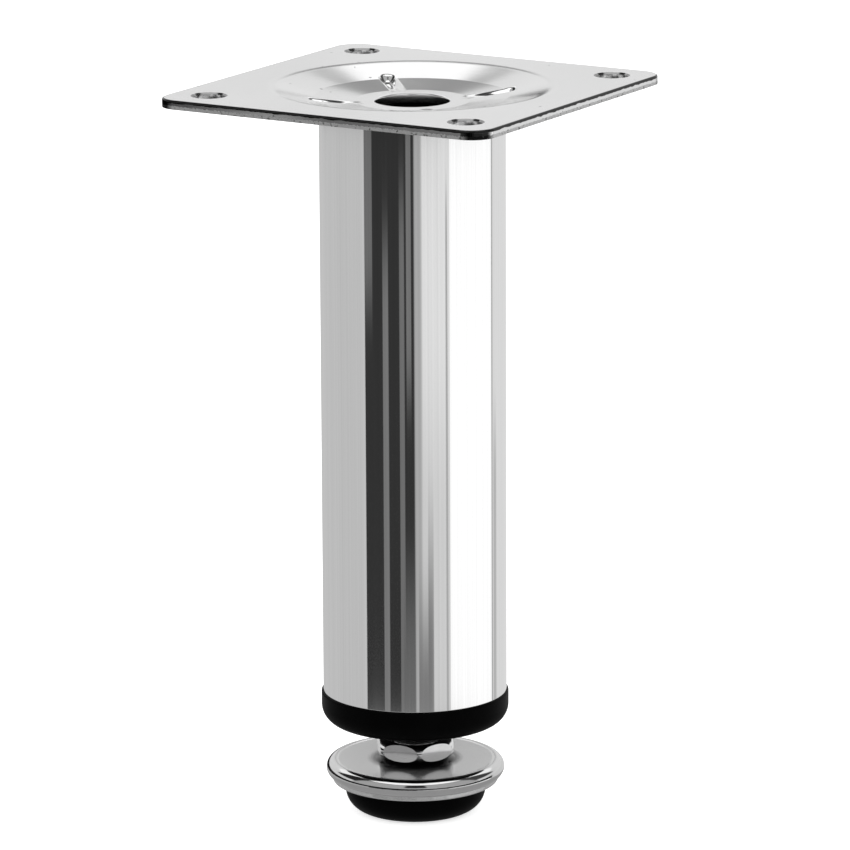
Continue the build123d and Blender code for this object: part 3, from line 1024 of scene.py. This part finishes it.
def thread_rows(sizes, angles, low, high):
    """The stud's thread: a right-hand helix, where the phase is height over pitch less the
    share of a turn. The radius follows a triangle wave of the phase, cut off flat at crest
    and root, and fades to the plain stud at the lower end."""
    rows = int(round((high - low) / sizes.pitch * ROWS_PER_PITCH))
    height = np.linspace(low, high, rows + 1)[:, None]
    phase = (height / sizes.pitch - angles[None, :] / FULL_TURN) % 1.0
    wave = 1 - np.abs(2 * phase - 1)
    crest = np.clip((wave - ROOT_FLAT) / (1 - ROOT_FLAT - CREST_FLAT), 0.0, 1.0)
    fade = smooth_step((height - low) / sizes.pitch)
    radius = sizes.thread_radius - sizes.thread_depth * (1 - crest) * fade
    chamfer = np.maximum(height - high + sizes.end_chamfer, 0.0)
    return polar(np.minimum(radius, sizes.thread_radius - chamfer), angles, height)


class LEG_OT_adjuster_screw(Operator):
    """Build the adjusting screw: rivet head, spigot, spanner collar and threaded stud"""

    bl_idname = "furniture_leg.adjuster_screw"
    bl_label = "Adjusting screw"

    def execute(self, context):
        sizes = context.scene.leg_screw
        low, high, hub = SCREW_LOW.z, SCREW_HIGH.z, DISC_HIGH.z
        head, spigot, stud = sizes.head_radius, sizes.spigot_radius, sizes.thread_radius
        cavity, collar_top = low + sizes.head_height, hub + sizes.collar_height
        thread_low = collar_top + sizes.neck
        angles, local = collar_angles(sizes)
        inside = sizes.collar_radius - sizes.collar_height / 2 - FLAT_RING
        corners = [(0.0, low), (head, low), (head, cavity)]
        corners += [(spigot, cavity), (spigot, hub), (inside, hub)]
        tail = rounded_line(corners, [HEAD_BEND, 0, 0, 0], steps=6)
        corners = [(inside, collar_top), (stud, collar_top), (stud, thread_low)]
        neck = rounded_line(corners, [NECK_BEND], steps=6)
        crown = np.array([(stud - sizes.end_chamfer - FLAT_RING, high), (0.0, high)])
        rows = [
            turned(tail, angles),
            collar_rows(sizes, angles, local, hub),
            turned(neck[:-1], angles),
            thread_rows(sizes, angles, thread_low, high),
            turned(crown, angles),
        ]
        screw = build_piece("adjuster_screw_turned", [(np.concatenate(rows), False, True)])
        finish = chrome(
            "Screw chrome", 0.001 * MM, 900.0, 250.0, 0.5, stretch=0.4, extra_rough=0.08
        )[0]
        dress(screw, finish, "screw", "screw_chrome", "adjuster_screw")
        return {"FINISHED"}


# Foot

ROLL_STEPS = 49
LIP_BEND = 0.06 * MM
RING_BEND, TOP_BEND = 0.08 * MM, 0.2 * MM


class LEG_OT_foot_disc(Operator):
    """Build the pressed foot disc with its crease, rolled rim and lip"""

    bl_idname = "furniture_leg.foot_disc"
    bl_label = "Foot disc"

    def execute(self, context):
        sizes = context.scene.leg_foot
        hub_level, bottom, bore = DISC_HIGH.z, DISC_LOW.z, sizes.bore
        rim_level, rim_centre = hub_level - sizes.rim_drop, DISC_HIGH.x - sizes.rim
        crease = DISC_HIGH.x - sizes.crease
        inset = rim_centre - crease
        crease_turn = 90 + math.degrees(math.asin(inset / sizes.rim))
        lip_turn = -math.degrees(math.acos(sizes.lip_beyond / sizes.rim))
        lip = rim_centre + sizes.lip_beyond
        cavity, cavity_top = lip - 2 * sizes.sheet, hub_level - sizes.sheet
        slope_top = rim_level + math.sqrt(sizes.rim**2 - inset**2) - sizes.sheet
        mouth = rim_level - sizes.rim + sizes.sheet
        roll = arc((rim_centre, rim_level), sizes.rim, crease_turn, lip_turn, ROLL_STEPS)
        corners = [
            (bore, hub_level), (sizes.seat, hub_level),
            (sizes.valley, hub_level - sizes.valley_depth), *roll,
            (lip, bottom), (cavity, bottom), (cavity, mouth), (rim_centre, mouth),
            (rim_centre, slope_top), (crease, slope_top), (sizes.hub, cavity_top),
            (bore, cavity_top), (bore, hub_level),
        ]
        roundings = [sizes.seat_rounding, sizes.valley_rounding, sizes.crease_rounding]
        roundings += [0] * (len(roll) - 2) + [LIP_BEND, sizes.lip_rounding]
        roundings += [0] * (len(corners) - 2 - len(roundings))
        section = rounded_line(corners, roundings)
        disc = build_turned("foot_disc_pressing", section[:-1], TURN_STEPS)
        dress(disc, disc_chrome("Disc chrome"), "foot", "foot_chrome", "foot_disc")
        return {"FINISHED"}


class LEG_OT_foot_pad(Operator):
    """Build the black glide pad with its rounded lower edge and snap ring"""

    bl_idname = "furniture_leg.foot_pad"
    bl_label = "Glide pad"

    def execute(self, context):
        sizes = context.scene.leg_foot
        reach, low, top = PAD_HIGH.x, PAD_LOW.z, PAD_HIGH.z
        side = reach - sizes.ring_reach
        mouth = DISC_HIGH.z - sizes.rim_drop - sizes.rim + sizes.sheet
        ring_low = mouth + sizes.pad_fit
        ring_high = ring_low + sizes.ring_height / 2
        recess = context.scene.leg_screw.head_radius + sizes.recess
        recess_low = SCREW_LOW.z - sizes.recess
        corners = [
            (0.0, low), (side, low), (side, ring_low), (reach, ring_low), (side, ring_high),
            (side, top), (recess, top), (recess, recess_low), (0.0, recess_low),
        ]
        roundings = [sizes.pad_rounding, 0, RING_BEND, 0, TOP_BEND, 0, 0]
        section = rounded_line(corners, roundings, steps=18)
        pad = build_turned("glide_pad_moulding", section, PLASTIC_STEPS, closed=False)
        finish = black_plastic("Pad plastic", 2200.0, 0.004 * MM)
        dress(pad, finish, "foot", "pad_plastic", "foot_pad")
        return {"FINISHED"}


# Studio


# Cards of the studio, as seen from the leg: name, azimuth from and to (degrees from the
# camera, positive to the picture's right), elevation from and to, softness, brightness.
# Later cards cover earlier ones. A card that ends past half a turn counts from 0 to 360.
CARDS = [
    ("ceiling", -181, 181, 50, 91, 3.0, 0.05),
    ("front wall", -118, 118, 4, 50, 4.0, 0.45),
    ("backdrop", 90, 270, -8, 30, 2.0, 0.80),
    ("high backdrop", 118, 242, 31.5, 52, 2.0, 1.15),
    ("stand", 177.0, 183.0, 18.8, 26.0, 1.4, 0.27),
    ("stand arm left", 171.5, 174.5, 27.0, 31.0, 1.4, 0.40),
    ("stand arm right", 185.5, 188.5, 27.0, 31.0, 1.4, 0.40),
    ("stand foot left", 175.5, 178.2, 1.5, 6.0, 1.0, 0.25),
    ("stand foot right", 181.8, 184.5, 1.5, 6.0, 1.0, 0.25),
    ("left corner", -125, -88, 22, 50, 5.0, 0.02),
    ("right corner", 88, 125, 22, 50, 5.0, 0.06),
    ("top softbox", -93, 93, 56, 84, 2.5, 1.30),
    ("camera side", -13, 13, 20, 50, 3.0, 0.03),
    ("left light wall", -181, -61, -18, 4, 1.5, 0.56),
    ("left flag", -61.8, 3.5, -18, 4, 0.6, 0.034),
    ("flag edge", -61.8, -52, -11.8, 4, 0.9, 0.16),
    ("flag gap low", -37.5, -31.5, -18, -12.4, 1.2, 0.20),
    ("flag gap middle", -16.5, -11.5, -18, -11.8, 1.0, 0.17),
    ("flag gap high", -8.0, -3.0, -12.6, 4, 1.0, 0.19),
    ("flag end", -13, 0, -18, -15.9, 1.6, 0.14),
    ("middle wall", 2.5, 12, -18, 4, 2.5, 0.42),
    ("middle wall right", 12, 44, -18, 4, 4.0, 0.66),
    ("middle wall top", 12, 44, -12.5, 4, 2.0, 0.80),
    ("middle wedge", 18, 23, -18, -15.7, 2.0, 0.24),
    ("middle wedge end", 6, 21, -18, -16.0, 1.4, 0.20),
    ("middle seam", 40.6, 42.6, -18, -11.5, 0.5, 0.42),
    ("right softbox", 46.5, 112, -18, 4, 2.0, 1.12),
    ("right wall", 117, 181, -18, 4, 3.0, 0.74),
    ("right seam", 118, 124, -18, -14.0, 1.0, 0.50),
    ("low wall", -181, 181, -22, -16.4, 0.12, 0.42),
    ("plate flag", -181, 115, -10.42, 4, 0.12, 0.012),
]
BELOW = 0.36
HALF_ROUND = 181
STREAK_SCALE, STREAK_SHARE = 0.35, 0.35
DEGREES = 180 / math.pi
FLOOR_GAP = 0.02 * MM
FLOOR_RINGS = np.array([0.0, 0.02, 0.1, 0.4, 1.0])
FLOOR_STEPS = 96


def card_group(name):
    """One card of the studio: the brightness under it, covered by its own where azimuth and
    elevation both lie in its range, with soft edges."""
    group, given, result = new_group(
        name, ("Light",), Azimuth=0.0, Elevation=0.0, Under=0.0,
        From=0.0, To=0.0, Low=0.0, High=0.0, Soft=1.0, Brightness=1.0,
    )
    masks = []
    for angle, first, last in (("Azimuth", "From", "To"), ("Elevation", "Low", "High")):
        start = less(group, given[first], given["Soft"])
        rise = ramp_between(group, given[angle], start, given[first])
        end = math_node(group, "ADD", given[last], given["Soft"])
        fall = ramp_between(group, given[angle], given[last], end)
        masks.append(times(group, rise, less(group, 1.0, fall)))
    light = mix_value(group, times(group, *masks), given["Under"], given["Brightness"])
    feed(group, light, result["Light"])
    return group


def studio_world(azimuth):
    """The studio round the leg: an even white for the camera and for diffuse light, and the
    cards by azimuth and elevation for what the plating mirrors."""
    world = bpy.data.worlds.new("Soft studio")
    world.use_nodes = True
    tree = world.node_tree
    background = tree.nodes["Background"]
    coordinates = tree.nodes.new("ShaderNodeTexCoord")
    turn_round = tree.nodes.new("ShaderNodeMapping")
    turn_round.vector_type = "POINT"
    turn_round.inputs["Rotation"].default_value = (0.0, 0.0, -azimuth)
    feed(tree, coordinates.outputs["Generated"], turn_round.inputs["Vector"])
    axes = split(tree, turn_round.outputs["Vector"])
    degrees = times(tree, math_node(tree, "ARCTAN2", axes["Y"], axes["X"]), DEGREES)
    elevation = times(tree, math_node(tree, "ARCSINE", axes["Z"]), DEGREES)
    behind = math_node(tree, "LESS_THAN", degrees, 0.0)
    wrapped = times_plus(tree, behind, 360.0, degrees)
    light = BELOW
    for name, start, end, low, high, soft, brightness in CARDS:
        card = place_group(
            tree, "Studio card", card_group,
            Azimuth=wrapped if end > HALF_ROUND else degrees, Elevation=elevation,
            Under=light, From=start, To=end, Low=low, High=high, Soft=soft,
            Brightness=brightness,
        )
        light = card["Light"]
        light.node.label = name
    flat = tree.nodes.new("ShaderNodeCombineXYZ")
    feed(tree, degrees, flat.inputs["X"])
    streak = less(tree, noise(tree, flat.outputs[0], STREAK_SCALE, 3.0), 0.5)
    light = times(tree, light, times_plus(tree, streak, STREAK_SHARE, 1.0))
    mirrored = tree.nodes.new("ShaderNodeLightPath").outputs["Is Glossy Ray"]
    feed(tree, mix_value(tree, mirrored, 1.0, light), background.inputs["Strength"])
    background.inputs["Color"].default_value = (1.0, 1.0, 1.0, 1.0)
    bpy.context.scene.world = world


def floor_material(colour):
    """A matt pale floor with a barely visible mottle, clear when it is seen from below."""
    material, tree, shader = new_material("Pale floor")
    tone = ramp_between(tree, noise(tree, object_vector(tree), 9.0, 3.0), *TONE_RAMP)
    mottle = mix_colour(tree, tone, shaded(colour, 0.995), shaded(colour, 1.0))
    for label, value in (
        ("Base Color", mottle), ("Emission Color", mottle), ("Emission Strength", 0.7),
        ("Roughness", 0.9), ("Specular IOR Level", 0.0),
    ):
        feed(tree, value, shader.inputs[label])
    facing = tree.nodes.new("ShaderNodeNewGeometry").outputs["Backfacing"]
    clear = tree.nodes.new("ShaderNodeBsdfTransparent").outputs[0]
    either = tree.nodes.new("ShaderNodeMixShader")
    for source, target in zip((facing, shader.outputs[0], clear), either.inputs):
        feed(tree, source, target)
    feed(tree, either.outputs[0], tree.nodes["Material Output"].inputs["Surface"])
    return material


class LEG_OT_stage(Operator):
    """Set the floor, the studio light and the camera"""

    bl_idname = "furniture_leg.stage"
    bl_label = "Floor, light and camera"

    def execute(self, context):
        studio = context.scene.leg_studio
        rings = FLOOR_RINGS[:, None] * studio.floor_radius
        points = polar(rings, even_turn(FLOOR_STEPS), PAD_LOW.z - FLOOR_GAP)
        floor = build_piece("floor", [(points, False, True)])
        floor.data.materials.append(floor_material(studio.floor))
        if floor.data.polygons[0].normal.z < 0:
            floor.data.flip_normals()
        floor.visible_glossy = False
        studio_world(studio.azimuth)
        self.add_camera(context, studio)
        context.scene.view_settings.view_transform = "Standard"
        return {"FINISHED"}

    def add_camera(self, context, studio):
        """Places the camera by its direction from the aim, steps it to its right, rolls it."""
        data = bpy.data.cameras.new("Camera")
        data.lens = studio.lens
        data.sensor_width = 36.0
        data.clip_start, data.clip_end = 0.01, 100.0
        camera = bpy.data.objects.new("Camera", data)
        context.scene.collection.objects.link(camera)
        level = math.cos(studio.elevation)
        across = level * math.cos(studio.azimuth), level * math.sin(studio.azimuth)
        back = Vector((*across, math.sin(studio.elevation)))
        facing = (-back).to_track_quat("-Z", "Y").to_matrix()
        rolled = facing @ Matrix.Rotation(-studio.roll, 3, "Z")
        place = Vector((0.0, 0.0, studio.target)) + back * studio.distance
        place += facing @ Vector((studio.sidestep, 0.0, 0.0))
        camera.matrix_world = Matrix.Translation(place) @ rolled.to_4x4()
        context.scene.camera = camera


# Panel and registration


OPERATORS = (
    LEG_OT_mounting_plate,
    LEG_OT_leg_tube,
    LEG_OT_end_plug,
    LEG_OT_captive_nut,
    LEG_OT_adjuster_screw,
    LEG_OT_foot_disc,
    LEG_OT_foot_pad,
    LEG_OT_stage,
)
SETTINGS = {
    "leg_plate": PlateSizes,
    "leg_tube": TubeSizes,
    "leg_plug": PlugSizes,
    "leg_screw": ScrewSizes,
    "leg_foot": FootSizes,
    "leg_finish": FinishColours,
    "leg_studio": StudioSettings,
}


class LEG_PT_panel(Panel):
    """The leg's sizes, finishes and build steps"""

    bl_idname = "LEG_PT_panel"
    bl_label = "Furniture leg"
    bl_space_type = "VIEW_3D"
    bl_region_type = "UI"
    bl_category = "Furniture leg"

    def draw(self, context):
        for operator in OPERATORS:
            self.layout.operator(operator.bl_idname)
        for name, group in SETTINGS.items():
            box = self.layout.box()
            box.label(text=group.__doc__)
            settings = getattr(context.scene, name)
            for field in group.__annotations__:
                box.prop(settings, field)


def register():
    for group in SETTINGS.values():
        bpy.utils.register_class(group)
    for name, group in SETTINGS.items():
        setattr(bpy.types.Scene, name, PointerProperty(type=group))
    for operator in OPERATORS:
        bpy.utils.register_class(operator)
    bpy.utils.register_class(LEG_PT_panel)


def unregister():
    bpy.utils.unregister_class(LEG_PT_panel)
    for operator in reversed(OPERATORS):
        bpy.utils.unregister_class(operator)
    for name, group in SETTINGS.items():
        delattr(bpy.types.Scene, name)
        bpy.utils.unregister_class(group)


def main():
    """Builds every piece and the stage."""
    register()
    for operator in OPERATORS:
        group, name = operator.bl_idname.split(".")
        getattr(getattr(bpy.ops, group), name)()


if __name__ == "__main__":
    main()
